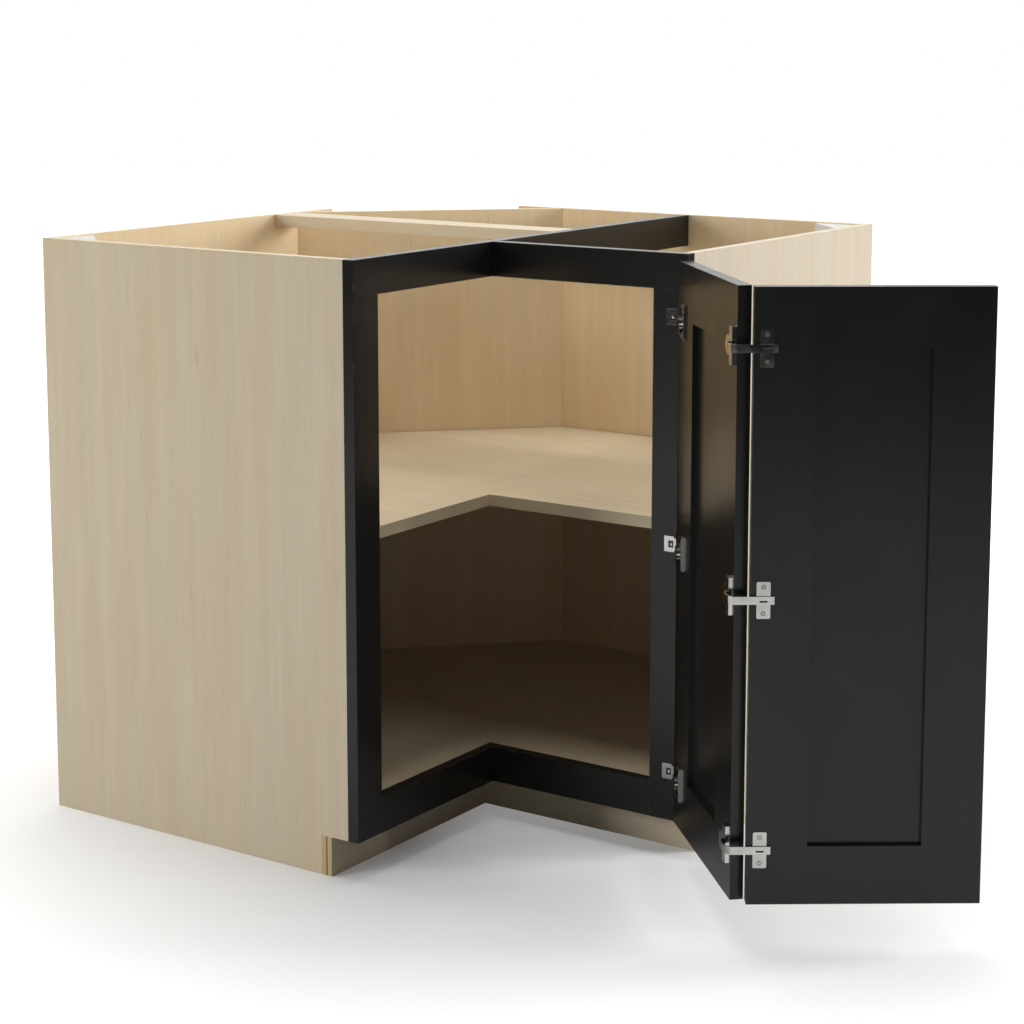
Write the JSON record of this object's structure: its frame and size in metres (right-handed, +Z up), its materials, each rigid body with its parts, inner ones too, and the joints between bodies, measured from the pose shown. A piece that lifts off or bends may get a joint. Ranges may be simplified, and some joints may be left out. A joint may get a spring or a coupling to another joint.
{
  "type": "corner base cabinet",
  "caption": "L-shaped kitchen corner base cabinet with a black face frame, maple carcass, shelf and a folding pair of framed doors that open together around the inside corner.",
  "frame": {"origin": "the room corner on the floor, where the planes of the two back faces meet", "axes": "+Z up, +X and +Y into the two walls, so the cabinet lies at negative X and Y"},
  "size_m": [0.9144, 1.3965, 0.8763],
  "materials": {
    "maple_ply": "clear satin lacquer",
    "black_paint": "satin black paint",
    "hinge_steel": "nickel plated steel",
    "pale_plastic": "moulded plastic"
  },
  "bodies": {
    "cabinet": {"bottom_panel": "maple_ply", "corner_block_screws": "hinge_steel", "diagonal_back_panel": "maple_ply", "frame_hinge_pins": "hinge_steel", "frame_hinge_plate_bottom": "hinge_steel", "frame_hinge_plate_middle": "hinge_steel", "frame_hinge_plate_top": "hinge_steel", "frame_hinge_screws": "hinge_steel", "left_back_panel": "maple_ply", "left_bottom_rail": "black_paint", "left_corner_block": "pale_plastic", "left_end_panel": "maple_ply", "left_stile": "black_paint", "left_toe_kick": "maple_ply", "left_top_rail": "black_paint", "right_back_panel": "maple_ply", "right_bottom_rail": "black_paint", "right_corner_block": "pale_plastic", "right_end_panel": "maple_ply", "right_stile": "black_paint", "right_toe_kick": "maple_ply", "right_top_rail": "black_paint", "shelf": "maple_ply", "shelf_supports": "hinge_steel", "worktop_stretcher": "maple_ply"},
    "hinged_door": {"fold_cup_screws": "hinge_steel", "fold_hinge_cup_bottom": "hinge_steel", "fold_hinge_cup_middle": "hinge_steel", "fold_hinge_cup_top": "hinge_steel", "frame_cup_screws": "hinge_steel", "frame_hinge_cup_bottom": "hinge_steel", "frame_hinge_cup_middle": "hinge_steel", "frame_hinge_cup_top": "hinge_steel", "hinged_door_bottom_rail": "black_paint", "hinged_door_fold_stile": "black_paint", "hinged_door_hinge_stile": "black_paint", "hinged_door_panel": "black_paint", "hinged_door_top_rail": "black_paint"},
    "folding_door": {"fold_hinge_arm_bottom": "hinge_steel", "fold_hinge_arm_middle": "hinge_steel", "fold_hinge_arm_top": "hinge_steel", "fold_hinge_plate_bottom": "hinge_steel", "fold_hinge_plate_middle": "hinge_steel", "fold_hinge_plate_top": "hinge_steel", "fold_plate_screws": "hinge_steel", "folding_door_bottom_rail": "black_paint", "folding_door_fold_stile": "black_paint", "folding_door_free_stile": "black_paint", "folding_door_panel": "black_paint", "folding_door_top_rail": "black_paint"}
  },
  "joints": [
    {"name": "hinged_door_swing", "type": "hinge", "parent": "cabinet", "child": "hinged_door", "pos_m": [-0.597, -0.9152, 0.467], "axis": [0, 0, 1], "range_deg": [-134.2, 30.8]},
    {"name": "folding_door_fold", "type": "hinge", "parent": "hinged_door", "child": "folding_door", "pos_m": [-0.81098, -1.13723, 0.467], "axis": [0, 0, 1], "range_deg": [-2.1, 9.1]}
  ],
  "couplings": [
    {"joint": "folding_door_fold", "follows": "hinged_door_swing", "ratio": -0.0678}
  ]
}
